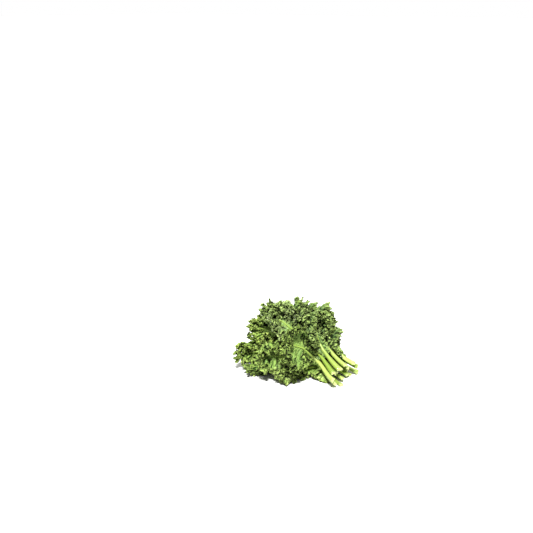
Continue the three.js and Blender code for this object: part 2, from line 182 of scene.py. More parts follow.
# One row for each leaf. ring: its place in RINGS. slot: where its stalk stands round the neck. turn: where
# its blade stands round the axis. flare: how far it opens from the axis. bow: how much it curves back to the
# axis as it goes. reach: neck to the midrib's tip. start: neck to the first of the blade. half: widest half
# of the blade. stalk: neck to cut end. A curl of its own takes the place of the ring's, flatter where the
# leaf lies on the surface below. leaflets: where along its stalk they start. leaflet_height: how tall they
# are. Most rows have the usual ones.
LEAVES = [
    dict(name="leaf_outer_top_far", ring=3, slot=1, turn=58, flare=69, bow=0.0012, reach=66, start=15,
         half=64, stalk=96, leaflets=-58),
    dict(name="leaf_outer_top_near", ring=3, slot=3, turn=106, flare=88, bow=0.0012, reach=66, start=10,
         half=64, stalk=88, curl=122),
    dict(name="leaf_outer_near", ring=3, slot=5, turn=156, flare=86, bow=0.001, reach=86, start=10,
         half=65, stalk=92, curl=70, leaflets=0),
    dict(name="leaf_outer_near_low", ring=3, slot=7, turn=207, flare=88, bow=0.0006, reach=80, start=17,
         half=66, stalk=98, curl=20, leaflets=-72, leaflet_height=38),
    dict(name="leaf_outer_far_low", ring=3, slot=9, turn=328, flare=68, bow=0.0012, reach=70, start=14,
         half=64, stalk=86, curl=20),
    dict(name="leaf_outer_far", ring=3, slot=11, turn=18, flare=80, bow=0.0012, reach=44, start=10,
         half=44, stalk=88, leaflets=-60),
    dict(name="leaf_middle_top", ring=2, slot=2, turn=80, flare=42, bow=0.0008, reach=90, start=21,
         half=58, stalk=90, curl=115, leaflets=-50),
    dict(name="leaf_middle_top_near", ring=2, slot=4, turn=134, flare=51, bow=0.0008, reach=108, start=18,
         half=70, stalk=84),
    dict(name="leaf_middle_near", ring=2, slot=6, turn=185, flare=58, bow=0.0006, reach=120, start=31,
         half=64, stalk=94, curl=115, leaflets=-30),
    dict(name="leaf_middle_near_low", ring=2, slot=8, turn=224, flare=58, bow=0.0003, reach=138, start=23,
         half=75, stalk=82, curl=20, leaflets=-50),
    dict(name="leaf_middle_far", ring=2, slot=10, turn=334, flare=52, bow=0.0008, reach=96, start=18,
         half=66, stalk=96, curl=35, leaflets=-62),
    dict(name="leaf_middle_top_far", ring=2, slot=12, turn=24, flare=40, bow=0.0008, reach=108, start=29,
         half=62, stalk=88, leaflets=-58),
    dict(name="leaf_inner_top_far", ring=1, slot=0, turn=38, flare=24, bow=0.0004, reach=136, start=45,
         half=60, stalk=90, curl=83),
    dict(name="leaf_inner_top_near", ring=1, slot=1, turn=120, flare=31, bow=0.0004, reach=136, start=34,
         half=63, stalk=84, leaflets=-52),
    dict(name="leaf_inner_near", ring=1, slot=2, turn=198, flare=37, bow=0.0002, reach=164, start=36,
         half=72, stalk=80, curl=78),
    dict(name="leaf_inner_low", ring=1, slot=3, turn=248, flare=33, bow=0.0004, reach=140, start=36,
         half=64, stalk=92, curl=40),
    dict(name="leaf_inner_far", ring=1, slot=4, turn=329, flare=32, bow=0.0004, reach=142, start=38,
         half=56, stalk=89, curl=30, leaflets=-58),
    dict(name="leaf_heart", ring=0, slot=5, turn=157, flare=7, bow=0.0001, reach=168, start=44,
         half=58, stalk=84, leaflets=-54),
]


def smooth(x):
    x = np.clip(x, 0, 1)
    return x * x * (3 - 2 * x)


def ramp(x, length):
    """A bend: 0 well before x = 0, and x well after it."""
    return (x + np.hypot(x, length)) / 2


def press(y, z):
    """The surface below presses the lower half of the bunch together and spreads it sideways."""
    pressed = PRESSED * ramp(-z - PRESSED_FROM, PRESS_SOFTNESS)
    return y + SPREAD_ASIDE * pressed * y / (np.abs(y) + SPREAD_SOFTNESS), z + pressed


def bunch_point(leaf, along, across, lift):
    """Where a leaf's own measures, along its midrib, across it and out from the axis, lie in the bunch."""
    out = lift + leaf["slant"] * across
    flare = math.radians(leaf["flare"])
    bent = ramp(along, BEND_LENGTH)
    turned = (along / np.hypot(along, BEND_LENGTH) + 1) / 2
    slope = (flare - 2 * leaf["bow"] * bent) * turned
    bowed = leaf["bow"] * bent * bent
    beyond = along - (1 - math.cos(flare)) * bent + bowed * math.sin(flare) - np.sin(slope) * out
    radius = leaf["neck"] + math.sin(flare) * bent - bowed * math.cos(flare) + np.cos(slope) * out

    # Across, part of it wraps round the axis and the rest goes straight sideways.
    wrap = leaf["wrap"] * across / np.maximum(radius, LEAST_WRAP_RADIUS)
    parted = smooth((along - PARTING_FROM) / (PARTING - PARTING_FROM))
    angle = np.radians(leaf["slot_turn"] + leaf["turn_away"] * parted) + wrap
    side = (1 - leaf["wrap"]) * across
    y, z = press(
        radius * np.cos(angle) - side * np.sin(angle),
        radius * np.sin(angle) + side * np.cos(angle),
    )

    # The stalks fan out behind the neck, and the axis comes down to their cut ends.
    back = np.maximum(-beyond, 0) / STALK_REACH
    fan = smooth(back / FAN_LENGTH) * STALK_SPREAD
    height = NECK_HEIGHT + AXIS_RISE * smooth(beyond / AXIS_RISE_LENGTH)
    height = height - (NECK_HEIGHT - CUT_END_HEIGHT) * smooth(back)
    y = y * (1 + fan) - STALK_TURN * ramp(-beyond, STALK_TURN_SOFTNESS)
    above = height + z - BLADE_THICKNESS / 2
    return np.stack((-beyond, y, BLADE_THICKNESS / 2 + ramp(above, FLOOR_SOFTNESS)), axis=-1)


def settled(points):
    """Rolls and pitches the bunch onto its low leaves and stalks, and moves it to the frame's origin."""
    x, y, z = points[..., 0], points[..., 1], points[..., 2]
    y, z = y * math.cos(ROLL) + z * math.sin(ROLL), z * math.cos(ROLL) - y * math.sin(ROLL)
    x, z = x * math.cos(PITCH) - z * math.sin(PITCH), z * math.cos(PITCH) + x * math.sin(PITCH)
    return np.stack((x, y, z), axis=-1) - FRAME_ORIGIN


for number, leaf in enumerate(LEAVES):
    for measure, usual in RINGS[leaf["ring"]].items():
        leaf.setdefault(measure, usual)
    if leaf["ring"] >= INNER_RINGS:
        leaf["slot_turn"] = FIRST_SLOT_TURN + 360 * (leaf["slot"] - 1) / NECK_SLOTS
    else:
        leaf["slot_turn"] = FIRST_HEART_TURN + 360 * leaf["slot"] / HEART_SLOTS
    leaf["turn_away"] = (leaf["turn"] - leaf["slot_turn"] + 180) % 360 - 180  # the shorter way round
    leaf["phase"] = math.radians((FIRST_PHASE + PHASE_STEP * number) % 360)
    leaf["number"] = number
    leaf["tint"] = (number * TINT_STRIDE % TINTS - TINTS // 2) * TINT_STEP


# ---- The blades ----
# A kale blade is a thin waxy sheet that grows faster at its margin than at its midrib. It is thrown into
# deep folds there, each fold into crimps and each crimp into crinkles, and its margin has small teeth. It is
# drawn as a sheet of points, w round the margin and share of the way out to it, and closed all round.
STALK_WIDTH = 8.2
CUT_END_WIDTH = 12
RIB_TIP_WIDTH = 2.2
RIB_TAPER = 0.8  # powers: the midrib's taper, and the stalk's flare at its cut end
CUT_END_FLARE = 3
FIRST_LENGTH = 0.3  # the first side vein, next to the longest
TIP_SHRINK = 0.55  # how much shorter the last one is than the longest would be
WIDEST_LENGTH = 0.86  # the longest one before it is scaled to the leaf's half width
FIRST_VEIN_TURN = 70  # between midrib and first side vein; the last one goes on along the midrib
RIB_CROWDING = 1.35  # powers: how fast each measure changes from the blade's start to its tip
LENGTH_GROWTH = 3
VEIN_TURNING = 2.5
MIDRIB_SINK = 0.6  # how far the blade's root goes into the midrib's side

FOLDS = 11  # round each blade
FOLD_REACH = 0.38  # height of a fold's crest over its wavelength
FOLD_LEAN = 0.6  # how far the steep sides of folds, crimps and crinkles lean over
FOLD_VARIETY = dict(reach=0.14, turns=11, phases=3)  # between the folds of one blade
FOLD_BEND = dict(reach=0.4, turns=13, outwards=5)  # of a crest on its way to the margin
FOLD_WANDER = [
    dict(reach=0.5, turns=7, phases=1),  # of the crests round the blade
    dict(reach=0.35, turns=17, phases=2),
]
WANDER_ENDS = 6  # the wander fades over a sixth of the margin at each end
FRILL_START = 14  # distance before the blade's start from which its frills grow
LOBE_DEPTH = 0.14  # how deep the margin is cut between two crests
MARGIN_STEP = 1e-3  # share of the margin, for measuring how it runs
TINY = 1e-9  # keeps divisions from zero

# Finer waves: their length along the margin, their height over their length, and the shares of the blade
# where they begin and where they have their full height.
CRIMPS = dict(length=13, reach=0.42, start=0.06, full=0.5)
CRINKLES = dict(length=5.8, reach=0.38, start=0.3, full=0.9)
# How far their crests stray, in radians, and how fast that changes from wave to wave and on the way out.
CREST_SPREAD = dict(reach=1.8, by_wave=0.9, outwards=0)  # grows towards the margin
CREST_WANDER = dict(reach=1.5, by_wave=0.31, outwards=4)
CREST_BEND = dict(reach=1.3, by_wave=0.57, outwards=11)
CREST_HEIGHT = 0.82
CREST_VARIETY = dict(reach=0.3, by_wave=0.43, outwards=3)
CRUMPLE = 0.85  # typical height of the small blisters between the finest veins
CRUMPLE_FULL = 0.3  # share of the blade where they have it
TOOTH_DEPTH = 1.7
TOOTH_RANGE = (-1, 1.4)
BLADE_SEED = 100

MARGIN_POINTS = 601  # one more than a multiple of three
INNER_SHARE = 0.5  # the inner part of a blade has a third of the points across
INNER_ROWS = 6
OUTER_ROWS = 7
FINE_THICKNESS = 0.55
MARGIN_THICKNESS = 0.35
FLOOR_GAP = 0.05  # between the lowest sheets and the surface below


def rib_width(leaf, along):
    """How wide the stalk and midrib are."""
    to_tip = np.clip(along / leaf["reach"], 0, 1)
    to_cut = np.clip(-along / leaf["stalk"], 0, 1)
    width = STALK_WIDTH + (RIB_TIP_WIDTH - STALK_WIDTH) * to_tip**RIB_TAPER
    return width + (CUT_END_WIDTH - STALK_WIDTH) * to_cut**CUT_END_FLARE


def side_vein(leaf, u):
    """The side vein that ends at u on the margin, which runs from the left start round the tip to the right.

    Gives its place on the midrib, its length and its direction.
    """
    v = 1 - np.abs(1 - 2 * u)
    rib = leaf["start"] + (leaf["reach"] - leaf["start"]) * (1 - (1 - v) ** RIB_CROWDING)
    turn = math.radians(FIRST_VEIN_TURN) * (1 - v**VEIN_TURNING)
    grown = FIRST_LENGTH + (1 - FIRST_LENGTH) * (1 - (1 - v) ** LENGTH_GROWTH)
    length = leaf["half"] * grown * (1 - TIP_SHRINK * v**LENGTH_GROWTH) / WIDEST_LENGTH
    return rib, length, np.cos(turn), np.sin(turn) * np.sign(u - 0.5)


def rolled(leaf, u, share):
    """The blade before it is folded: it dips beside the midrib and curls out along an arc."""
    rib, length, forward, sideways = side_vein(leaf, u)
    start = math.radians(leaf["dip"])
    turn = math.radians(leaf["curl"]) - start
    slope = start + turn * share
    inwards = length * (np.sin(slope) - math.sin(start)) / turn
    along = rib + forward * inwards
    across = sideways * (rib_width(leaf, rib) / 2 - MIDRIB_SINK * (1 - share)) + sideways * inwards
    out = length * (math.cos(start) - np.cos(slope)) / turn
    return along, across, out, slope, forward, sideways


def meander(phase, wavelength, reach):
    """A wave whose steep parts lean over as it gets taller: its shift along the sheet and rise out of it."""
    shift = -FOLD_LEAN * reach**2 * wavelength * np.sin(2 * phase)
    return shift, reach * wavelength * np.sin(phase)


def drift(wave, leaf, w):
    """One of the slow waves that keep the folds uneven."""
    return wave["reach"] * np.sin(wave["turns"] * w + wave["phases"] * leaf["phase"])


def folded_sheet(leaf, w, share):
    """The middle of the blade with its folds, and the folds' phase."""
    phase = 2 * np.pi * FOLDS * w + leaf["phase"]
    ends = np.minimum(1, np.minimum(WANDER_ENDS * w, WANDER_ENDS * (1 - w)))
    turned = FOLD_BEND["outwards"] * share + FOLD_BEND["turns"] * w + leaf["phase"]
    wander = sum(drift(wave, leaf, w) for wave in FOLD_WANDER) + FOLD_BEND["reach"] * share * np.sin(turned)
    u = w + ends * wander / (2 * np.pi * FOLDS)

    # Folds grow from the midrib to the margin, and from the neck outwards.
    rib, length, forward, _ = side_vein(leaf, u)
    room = smooth((rib + length * forward / 2 - leaf["start"] + FRILL_START) / leaf["open"])
    lobe = share * (1 - LOBE_DEPTH * room * np.cos(phase) ** 2 * share)
    along, across, out, slope, forward, sideways = rolled(leaf, u, lobe)
    before = rolled(leaf, np.maximum(u - MARGIN_STEP, 0), share)
    after = rolled(leaf, np.minimum(u + MARGIN_STEP, 1), share)
    dx = after[0] - before[0]
    dy = after[1] - before[1]
    run = np.maximum(np.hypot(dx, dy), TINY)
    height = FOLD_REACH * (1 - FOLD_VARIETY["reach"] + drift(FOLD_VARIETY, leaf, w))
    shift, rise = meander(phase, run / (2 * MARGIN_STEP) / FOLDS, height * room * share)
    points = bunch_point(
        leaf,
        along - forward * rise * np.sin(slope) + shift * dx / run,
        across - sideways * rise * np.sin(slope) + shift * dy / run,
        out + rise * np.cos(slope),
    )
    return points, phase


def unit(vectors):
    return vectors / np.maximum(np.linalg.norm(vectors, axis=-1, keepdims=True), TINY)


def sheet_normals(points):
    """Directions square to a sheet of points, towards the leaf's underside."""
    return -unit(np.cross(np.gradient(points, axis=1), np.gradient(points, axis=0)))


def margin_run(points):
    """Distance along the margin, the sheet's last row, to each of its points."""
    steps = np.linalg.norm(np.diff(points[-1], axis=0), axis=-1)
    return np.concatenate(([0], np.cumsum(steps)))


def sway(wave, away, share, turn):
    """One of the slow waves that make the crests uneven."""
    return wave["reach"] * np.sin(wave["by_wave"] * away + wave["outwards"] * share + turn)


def waved(points, share, waves, random):
    """The sheet with one more set of waves, all about as long at its margin."""
    spread_turn, wander_turn, variety_turn, bend_turn = random.uniform(0, 2 * np.pi, 4)
    away = margin_run(points) / waves["length"]
    phase = 2 * np.pi * away + sway(CREST_SPREAD, away, share, spread_turn) * share
    phase = phase + sway(CREST_WANDER, away, share, wander_turn)
    phase = phase + sway(CREST_BEND, away, share, bend_turn)
    uneven = CREST_HEIGHT + sway(CREST_VARIETY, away, share, variety_turn)
    grown = smooth((share - waves["start"]) / (waves["full"] - waves["start"]))

    steps = np.gradient(points, axis=1)
    spacing = np.linalg.norm(steps, axis=-1)
    wavelength = 2 * np.pi * spacing / np.maximum(np.abs(np.gradient(phase, axis=1)), TINY)
    shift, rise = meander(phase, wavelength, waves["reach"] * uneven * grown)
    return points + unit(steps) * shift[..., None] + sheet_normals(points) * rise[..., None]


def crumpled(points, share, random):
    """The sheet with small uneven blisters."""
    blisters = random.normal(0, CRUMPLE, share.shape) * smooth(share / CRUMPLE_FULL)
    return points + sheet_normals(points) * blisters[..., None]


def toothed(points, random):
    """The sheet with small teeth along its margin."""
    outwards = unit(points[-1] - points[-2])
    teeth = np.clip(random.normal(0, 1, points.shape[1]), *TOOTH_RANGE)
    points[-1] += outwards * teeth[:, None] * TOOTH_DEPTH
    return points


BLADE, STALK, CUT = range(3)  # a leaf's finishes, in the order of its materials
GROWN_UNIT = 100  # length of one unit of the UV map


class Skin:
    """Points and faces of one piece, gathered before its mesh is made.

    Its marks become attributes. share: of the way from midrib to margin. upper: 1 on the leaf's upper face.
    vein: 1 on a side vein. along: from the neck towards the tip, in stalk lengths, but the share of the way
    out on a cut face, inside its rim. tint: how fresh a green.
    """

    def __init__(self):
        self.points = []
        self.faces = []
        self.finishes = []
        self.marks = {"share": [], "upper": [], "vein": [], "along": [], "tint": []}
        self.uvs = []

    def add_points(self, points, **marks):
        """Adds a grid of points, u and v being their place on the UV map, and gives their numbers."""
        first = len(self.points)
        flat = points.reshape(-1, 3)
        self.points.extend(flat.tolist())
        for name, values in self.marks.items():
            values.extend(np.broadcast_to(marks.get(name, 0.0), points.shape[:-1]).ravel().tolist())
        self.uvs.extend(np.stack((marks["u"], marks["v"]), axis=-1).reshape(-1, 2).tolist())
        return first + np.arange(len(flat)).reshape(points.shape[:-1])

    def add_grid(self, grid, finish):
        quads = np.stack((grid[:-1, :-1], grid[:-1, 1:], grid[1:, 1:], grid[1:, :-1]), axis=-1)
        self.faces.extend(quads.reshape(-1, 4).tolist())
        self.finishes.extend([finish] * (quads.size // 4))

    def add_joint(self, coarse, fine):
        """Faces of the blade between a row of points and one with three times as many steps."""
        first, second, third, last = fine[:-1:3], fine[1::3], fine[2::3], fine[3::3]
        near, far = coarse[:-1], coarse[1:]
        middle = np.stack((near, far, third, second), axis=-1)
        sides = np.concatenate((np.stack((near, second, first), -1), np.stack((far, last, third), -1)))
        self.faces.extend(middle.tolist() + sides.tolist())
        self.finishes.extend([BLADE] * (len(middle) + len(sides)))

    def make(self, name, materials):
        mesh = bpy.data.meshes.new(name)
        mesh.from_pydata((np.array(self.points) * MM).tolist(), [], self.faces)
        for material in materials:
            mesh.materials.append(material)
        mesh.polygons.foreach_set("material_index", self.finishes)
        mesh.polygons.foreach_set("use_smooth", [True] * len(self.faces))
        for mark, values in self.marks.items():
            mesh.attributes.new(mark, "FLOAT", "POINT").data.foreach_set("value", values)
        corners = np.zeros(len(mesh.loops), dtype=np.int32)
        mesh.loops.foreach_get("vertex_index", corners)
        layer = mesh.uv_layers.new(name="grown")
        layer.data.foreach_set("uv", np.array(self.uvs)[corners].ravel())
        mesh.update()
        piece = bpy.data.objects.new(name, mesh)
        bpy.context.collection.objects.link(piece)
        return piece


def add_sheet(skin, sheet, share, vein, grown, tint, inner_rows=0):
    """A thin closed blade round a sheet of points, with fewer points across its inner rows."""
    normals = sheet_normals(sheet)
    thick = FINE_THICKNESS + (MARGIN_THICKNESS - FINE_THICKNESS) * share
    faces = []
    for side in (-1, 1):
        points = settled(sheet + normals * (side * thick / 2)[..., None])
        lowest = FLOOR_GAP + thick * (normals[..., 2] * side > 0)  # the top face lies higher
        points[..., 2] = np.maximum(points[..., 2], lowest)
        marks = dict(share=share, vein=vein, u=grown[0], v=grown[1])
        inner_marks = {key: value[:inner_rows, ::3] for key, value in marks.items()}
        outer_marks = {key: value[inner_rows:] for key, value in marks.items()}
        upper = float(side < 0)
        inner = skin.add_points(points[:inner_rows, ::3], upper=upper, tint=tint, **inner_marks)
        outer = skin.add_points(points[inner_rows:], upper=upper, tint=tint, **outer_marks)
        faces.append((inner, outer))
        outwards = slice(None, None, -1) if side > 0 else slice(None)
        skin.add_grid(outer[:, outwards], BLADE)
        if inner_rows:
            skin.add_grid(inner[:, outwards], BLADE)
            skin.add_joint(inner[-1, outwards], outer[0, outwards])

    # The margin, the root and the two ends close it.
    (inner, outer), (inner_under, outer_under) = faces
    skin.add_grid(np.stack((outer[-1], outer_under[-1])), BLADE)
    root, root_under = (inner[0], inner_under[0]) if inner_rows else (outer[0], outer_under[0])
    skin.add_grid(np.stack((root_under, root)), BLADE)
    for end in (0, -1):
        edge = np.concatenate((inner[:, end], outer[:, end]))
        edge_under = np.concatenate((inner_under[:, end], outer_under[:, end]))
        pair = (edge_under, edge) if end == 0 else (edge, edge_under)
        skin.add_grid(np.stack(pair, axis=-1), BLADE)


SIDE_VEINS = 2  # for each fold
VEIN_WIDTH = 0.9  # beside the midrib
VEIN_NARROWING = 0.75  # from the midrib to the margin
VEIN_FADING = 0.6
LEAST_VEIN = 0.02  # share of the room between two veins
LEAST_SPACING = 1


def vein_marks(fold_phase, share, spacing):
    """1 on a side vein and 0 away from it, thinning out towards the margin."""
    turn = fold_phase * SIDE_VEINS / 2
    away = np.abs((turn / np.pi + 0.5) % 1 - 0.5) * 2
    width = VEIN_WIDTH * (1 - VEIN_NARROWING * share) / np.maximum(spacing, LEAST_SPACING)
    return np.exp(-((away / np.maximum(width, LEAST_VEIN)) ** 2)) * (1 - VEIN_FADING * share)


def add_blade(skin, leaf):
    """Adds a leaf's blade, and gives its sheet frilled and only folded, the folds' phase and the shares."""
    inner = np.linspace(0, INNER_SHARE, INNER_ROWS, endpoint=False)
    outer = np.linspace(INNER_SHARE, 1, OUTER_ROWS)
    w, share = np.meshgrid(np.linspace(0, 1, MARGIN_POINTS), np.concatenate((inner, outer)))
    folded, fold_phase = folded_sheet(leaf, w, share)
    random = np.random.default_rng(BLADE_SEED + leaf["number"])
    sheet = waved(folded, share, CRIMPS, random)
    sheet = waved(sheet, share, CRINKLES, random)
    sheet = toothed(crumpled(sheet, share, random), random)

    spacing = np.linalg.norm(np.gradient(folded, axis=1), axis=-1) * MARGIN_POINTS / FOLDS / SIDE_VEINS
    vein = vein_marks(fold_phase, share, spacing)
    around = np.broadcast_to(margin_run(folded) / GROWN_UNIT, share.shape)
    grown = (around, share * leaf["half"] / GROWN_UNIT)
    add_sheet(skin, sheet, share, vein, grown, leaf["tint"], INNER_ROWS)
    return sheet, folded, fold_phase, share


def paint(red, green, blue):
    """A colour given in sRGB, 0 to 255."""
    shares = [c / 255 for c in (red, green, blue)]
    linear = [c / 12.92 if c <= 0.04045 else ((c + 0.055) / 1.055) ** 2.4 for c in shares]
    return (*linear, 1)


class Nodes:
    """Makes and joins the nodes of one tree."""

    MIX_COLORS = (6, 7)  # a Mix node's sockets for two colours, which share their names with other kinds
    MIXED_COLOR = 2

    def __init__(self, tree):
        self.tree = tree

    def add(self, kind, settings=(), **inputs):
        node = self.tree.nodes.new(kind)
        for name, value in dict(settings).items():
            setattr(node, name, value)
        for name, value in inputs.items():
            self.put(node.inputs[name.replace("_", " ")], value)
        return node

    def put(self, socket, value):
        if isinstance(value, bpy.types.NodeSocket):
            self.tree.links.new(value, socket)
        else:
            socket.default_value = value

    def attribute(self, name):
        return self.add("ShaderNodeAttribute", {"attribute_name": name}).outputs["Fac"]

    def math(self, operation, *values, clamp=False):
        node = self.add("ShaderNodeMath", {"operation": operation, "use_clamp": clamp})
        for socket, value in zip(node.inputs, values):
            self.put(socket, value)
        return node.outputs["Value"]

    def scaled(self, value, by, plus=0.0, clamp=False):
        return self.math("MULTIPLY_ADD", value, by, plus, clamp=clamp)

    def blend(self, share, first, second):
        node = self.add("ShaderNodeMix", {"data_type": "RGBA"}, Factor=share)
        for socket, color in zip(self.MIX_COLORS, (first, second)):
            self.put(node.inputs[socket], color)
        return node.outputs[self.MIXED_COLOR]

    def noise(self, place, scale, detail):
        return self.add("ShaderNodeTexNoise", Vector=place, Scale=scale, Detail=detail).outputs["Fac"]

    def spread(self, value, low, high):
        """0 up to the low value and 1 from the high one."""
        node = self.add("ShaderNodeMapRange", {"clamp": True}, Value=value, From_Min=low, From_Max=high)
        return node.outputs["Result"]


BROAD_WEIGHT = 0.65  # of the broad patches; the fine ones have the rest
PATCH_CONTRAST = 3.0


def make_mottling():
    """Patches of growth, broad and fine, as shares from 0 to 1. Every part of the leaf has them."""
    tree = bpy.data.node_groups.new("mottling", "ShaderNodeTree")
    for label in ("Broad", "Fine", "Contrast"):
        tree.interface.new_socket(label, in_out="INPUT", socket_type="NodeSocketFloat")
    tree.interface.new_socket("Patches", in_out="OUTPUT", socket_type="NodeSocketFloat")
    nodes = Nodes(tree)
    given = tree.nodes.new("NodeGroupInput").outputs
    result = tree.nodes.new("NodeGroupOutput").inputs
    place = nodes.add("ShaderNodeTexCoord").outputs["Object"]
    broad = nodes.noise(place, scale=given["Broad"], detail=3.0)
    fine = nodes.noise(place, scale=given["Fine"], detail=2.0)
    mixed = nodes.scaled(broad, by=BROAD_WEIGHT, plus=nodes.scaled(fine, by=1 - BROAD_WEIGHT))
    centred = nodes.math("MULTIPLY", nodes.math("SUBTRACT", mixed, 0.5), given["Contrast"])
    nodes.put(result["Patches"], nodes.scaled(centred, by=PATCH_CONTRAST, plus=0.5, clamp=True))
    return tree


MOTTLING = make_mottling()


def use_mottling(nodes, broad, fine, contrast):
    """The patches, with so many broad and fine ones to a metre."""
    group = nodes.add("ShaderNodeGroup", {"node_tree": MOTTLING})
    group.inputs["Broad"].default_value = broad
    group.inputs["Fine"].default_value = fine
    group.inputs["Contrast"].default_value = contrast
    return group.outputs["Patches"]


def new_material(name):
    material = bpy.data.materials.new(name)
    material.use_nodes = True
    return material, Nodes(material.node_tree), material.node_tree.nodes["Principled BSDF"]


VEIN_NET_CELLS = 240  # to a metre
VEIN_NET_WIDTH = 0.12  # of a cell
PUCKERS = 260  # to a metre
YOUNG_FROM = 0.75  # freshness where a blade starts to turn to its youngest colour
YOUNG_UP_TO = 1.25  # and would have it all, though freshness ends at 1
UNDERSIDE_PALENESS = 0.5
MARGIN_PALENESS = 0.45
MARGIN_BAND = (0.7, 1.0)  # shares of the way from the midrib
NET_PALENESS = 0.22
VEIN_PALENESS = 0.8
GAP_REACH = 12 * MM  # how near other frills count as shading a place
GAP_OPENNESS = (0.15, 0.75)  # shares of open air: in full shade, and out of it
# how far the painted shade in the gaps darkens the blade's colour
PAINTED_GAP_SHADE = 0.95
NET_HEIGHT = 0.4
VEIN_HEIGHT = 0.6


def make_blade_finish(name, dark, fresh, young):
    """A waxy blade: pale veins and margin, a lighter underside, and painted shade, a near-black green, in
    the gaps between its frills.
    """
    material, nodes, shader = new_material(name)
    patches = use_mottling(nodes, broad=26, fine=120, contrast=1.2)
    vein = nodes.attribute("vein")
    freshness = nodes.math("ADD", patches, nodes.attribute("tint"), clamp=True)
    place = nodes.add("ShaderNodeTexCoord").outputs["Object"]
    edges = {"feature": "DISTANCE_TO_EDGE"}
    net = nodes.add("ShaderNodeTexVoronoi", edges, Vector=place, Scale=VEIN_NET_CELLS).outputs["Distance"]
    between_veins = nodes.spread(net, 0.0, VEIN_NET_WIDTH)

    color = nodes.blend(freshness, dark, fresh)
    color = nodes.blend(nodes.spread(freshness, YOUNG_FROM, YOUNG_UP_TO), color, young)
    below = nodes.blend(UNDERSIDE_PALENESS, color, paint(160, 196, 104))
    color = nodes.blend(nodes.attribute("upper"), below, color)
    margin = nodes.scaled(nodes.spread(nodes.attribute("share"), *MARGIN_BAND), by=MARGIN_PALENESS)
    color = nodes.blend(margin, color, paint(188, 208, 100))
    thin = nodes.scaled(between_veins, by=-NET_PALENESS, plus=NET_PALENESS)
    color = nodes.blend(thin, color, paint(172, 200, 100))
    color = nodes.blend(nodes.scaled(vein, by=VEIN_PALENESS), color, paint(190, 208, 140))
    # Painted shade: where other frills are near, the colour is darkened towards a near-black green. The same
    # mask makes those places rougher.
    open_air = nodes.add("ShaderNodeAmbientOcclusion", {"samples": 6}, Distance=GAP_REACH).outputs["AO"]
    gap_shade = nodes.scaled(nodes.spread(open_air, *GAP_OPENNESS), by=-1.0, plus=1.0)
    color = nodes.blend(nodes.scaled(gap_shade, by=PAINTED_GAP_SHADE), color, paint(3, 24, 0))
    nodes.put(shader.inputs["Base Color"], color)

    puckers = nodes.noise(place, scale=PUCKERS, detail=3.0)
    ridges = nodes.scaled(between_veins, by=NET_HEIGHT, plus=puckers)
    ridges = nodes.scaled(vein, by=-VEIN_HEIGHT, plus=ridges)
    bump = nodes.add("ShaderNodeBump", Strength=1.0, Distance=3 * MM, Height=ridges)
    nodes.put(shader.inputs["Normal"], bump.outputs["Normal"])
    roughness = nodes.scaled(patches, by=0.16, plus=0.36)
    nodes.put(shader.inputs["Roughness"], nodes.math("ADD", roughness, gap_shade, clamp=True))
    shader.inputs["Specular IOR Level"].default_value = 0.35
    return material


WAXY_BLADE = make_blade_finish(
    "kale_waxy_blade", dark=paint(50, 100, 26), fresh=paint(152, 182, 118), young=paint(214, 224, 176)
)
OUTER_BLADE = make_blade_finish(
    "kale_outer_blade", dark=paint(52, 104, 8), fresh=paint(153, 186, 82), young=paint(216, 228, 152)
)
INNER_BLADE = make_blade_finish(
    "kale_inner_blade", dark=paint(74, 122, 6), fresh=paint(168, 198, 74), young=paint(218, 230, 138)
)


# ---- The overlapping lobes ----
# A curly blade is cut into lobes that overlap, so that frilled margins stand out all over the leaf and not
# only round it. Each one is a narrow flounce that grows along a line from the midrib to the margin.
FLOUNCES = 2  # on each fold
FLOUNCE_STRAY = (0.3, 0.7)  # shares of the room that each has
FLOUNCE_SHARES = (0.12, 0.97)  # of the way from midrib to margin, where it starts and ends
FLOUNCE_HEIGHT = 12
FLOUNCE_HEIGHTS = (0.7, 1.15)  # shares of it
FLOUNCE_UNDER = 0.6  # share of them that stand on the underside
FLOUNCE_LEAN = 0.7  # the most, in radians
FLOUNCE_OUTLINE = dict(forward=0.8, full=0.6)  # powers: where it is tallest, and how soon it gets there
FLOUNCE_COLUMNS = 60
FLOUNCE_ROWS = 5
FLOUNCE_CRIMPS = dict(length=9, reach=0.54, start=0.02, full=0.8)
FLOUNCE_CRINKLES = dict(length=5, reach=0.3, start=0.2, full=1)
FLOUNCE_SHARE = 0.4  # how far out on a blade its root counts as, for its thickness and colour
FLOUNCE_TINTS = 0.16  # typical difference between the lobes of one leaf
FLOUNCE_SEED = 500


def add_flounce(skin, leaf, root, rise, height, random):
    """Adds a frilled strip that grows from a line of root points."""
    along = np.linspace(0, 1, len(root))
    out = np.repeat(np.linspace(0, 1, FLOUNCE_ROWS)[:, None], len(root), axis=1)
    tall = height * np.sin(np.pi * along ** FLOUNCE_OUTLINE["forward"]) ** FLOUNCE_OUTLINE["full"]
    points = root + rise * (out * tall - FINE_THICKNESS / 2)[..., None]
    points = waved(points, out, FLOUNCE_CRIMPS, random)
    points = waved(points, out, FLOUNCE_CRINKLES, random)
    points = toothed(crumpled(points, out, random), random)
    around = np.broadcast_to(margin_run(points) / GROWN_UNIT, out.shape)
    tint = leaf["tint"] + random.normal(0, FLOUNCE_TINTS)
    share = FLOUNCE_SHARE + (1 - FLOUNCE_SHARE) * out
    add_sheet(skin, points, share, 0 * out, (around, out * height / GROWN_UNIT), tint)


